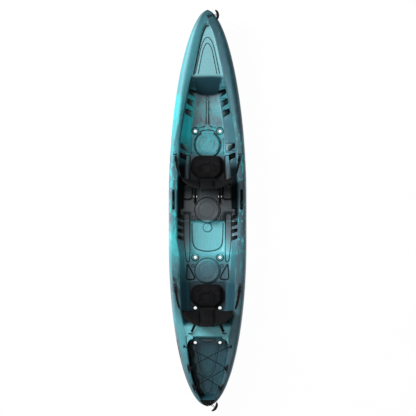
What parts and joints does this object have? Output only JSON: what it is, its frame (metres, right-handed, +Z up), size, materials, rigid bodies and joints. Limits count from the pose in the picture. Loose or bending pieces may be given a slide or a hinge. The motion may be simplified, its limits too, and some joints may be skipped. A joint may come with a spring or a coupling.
{
  "type": "kayak",
  "caption": "Teal marbled tandem sit-on-top kayak with padded folding seats, scupper drains, foot braces, a lashed tank well and carry toggles at bow and stern",
  "frame": {"origin": "on the keel's flat underside, amidships", "axes": "+X starboard, +Y towards the bow, +Z up"},
  "size_m": [0.812, 4.1538, 0.5489],
  "materials": {
    "hull": "marbled satin moulding",
    "seat_cloth": "matte",
    "webbing": "matte",
    "elastic": "matte",
    "fitting": "satin",
    "seal": "matte",
    "screw": "satin"
  },
  "bodies": {
    "hull": {"hull_stern": "hull", "hull_rear_seat": "hull", "hull_tray": "hull", "hull_mid_deck": "hull", "hull_front_seat": "hull", "hull_bow": "hull", "drain_plug_housing": "fitting", "drain_plug_gasket": "seal", "bow_handle_eye": "fitting", "bow_handle_screws": "screw", "stern_handle_base": "fitting", "stern_handle_eye": "fitting", "stern_handle_screws": "screw", "front_seat_pad": "seat_cloth", "rear_seat_pad": "seat_cloth", "front_side_strap_port": "webbing", "front_side_strap_starboard": "webbing", "front_back_strap_port": "webbing", "front_back_strap_starboard": "webbing", "front_side_buckle_port": "fitting", "front_side_buckle_starboard": "fitting", "front_side_hook_port": "fitting", "front_side_hook_starboard": "fitting", "front_back_hook_port": "fitting", "front_back_hook_starboard": "fitting", "rear_side_strap_port": "webbing", "rear_side_strap_starboard": "webbing", "rear_back_strap_port": "webbing", "rear_back_strap_starboard": "webbing", "rear_side_buckle_port": "fitting", "rear_side_buckle_starboard": "fitting", "rear_side_hook_port": "fitting", "rear_side_hook_starboard": "fitting", "rear_back_hook_port": "fitting", "rear_back_hook_starboard": "fitting", "pad_eyes": "fitting", "pad_eye_screws": "screw", "bungee_cord": "elastic", "bungee_stern_eye": "fitting", "bungee_hooks": "fitting", "bungee_hook_screws": "screw"},
    "front_backrest": {"front_backrest_hem": "seat_cloth", "front_backrest_centre": "seat_cloth", "front_backrest_port_wing": "seat_cloth", "front_backrest_starboard_wing": "seat_cloth"},
    "rear_backrest": {"rear_backrest_hem": "seat_cloth", "rear_backrest_centre": "seat_cloth", "rear_backrest_port_wing": "seat_cloth", "rear_backrest_starboard_wing": "seat_cloth"},
    "bow_handle": {"bow_handle_cord": "webbing", "bow_handle_toggle": "fitting"},
    "stern_handle": {"stern_handle_cord": "webbing", "stern_handle_toggle": "fitting"},
    "drain_plug": {"drain_plug": "fitting"}
  },
  "joints": [
    {"name": "front_backrest_fold", "type": "hinge", "parent": "hull", "child": "front_backrest", "pos_m": [0, 0.294, 0.1746], "axis": [1, 0, 0], "range_deg": [-55, 0], "deforming": ["front_side_strap_port", "front_side_strap_starboard", "front_back_strap_port", "front_back_strap_starboard"]},
    {"name": "rear_backrest_fold", "type": "hinge", "parent": "hull", "child": "rear_backrest", "pos_m": [0, -1.049, 0.1796], "axis": [1, 0, 0], "range_deg": [-55, 0], "deforming": ["rear_side_strap_port", "rear_side_strap_starboard", "rear_back_strap_port", "rear_back_strap_starboard"]},
    {"name": "bow_handle_swing", "type": "hinge", "parent": "hull", "child": "bow_handle", "pos_m": [0, 1.99, 0.3893], "axis": [-0.1045, 0.9945, 0], "range_deg": [-180, 0]},
    {"name": "stern_handle_swing", "type": "hinge", "parent": "hull", "child": "stern_handle", "pos_m": [0.016, -2.024, 0.3646], "axis": [0.5, 0.866, 0], "range_deg": [-150, 0]},
    {"name": "drain_plug_turn", "type": "hinge", "parent": "hull", "child": "drain_plug", "pos_m": [0.24189, -1.7, 0.19], "axis": [0.9545, -0.2983, 0], "continuous": true}
  ]
}
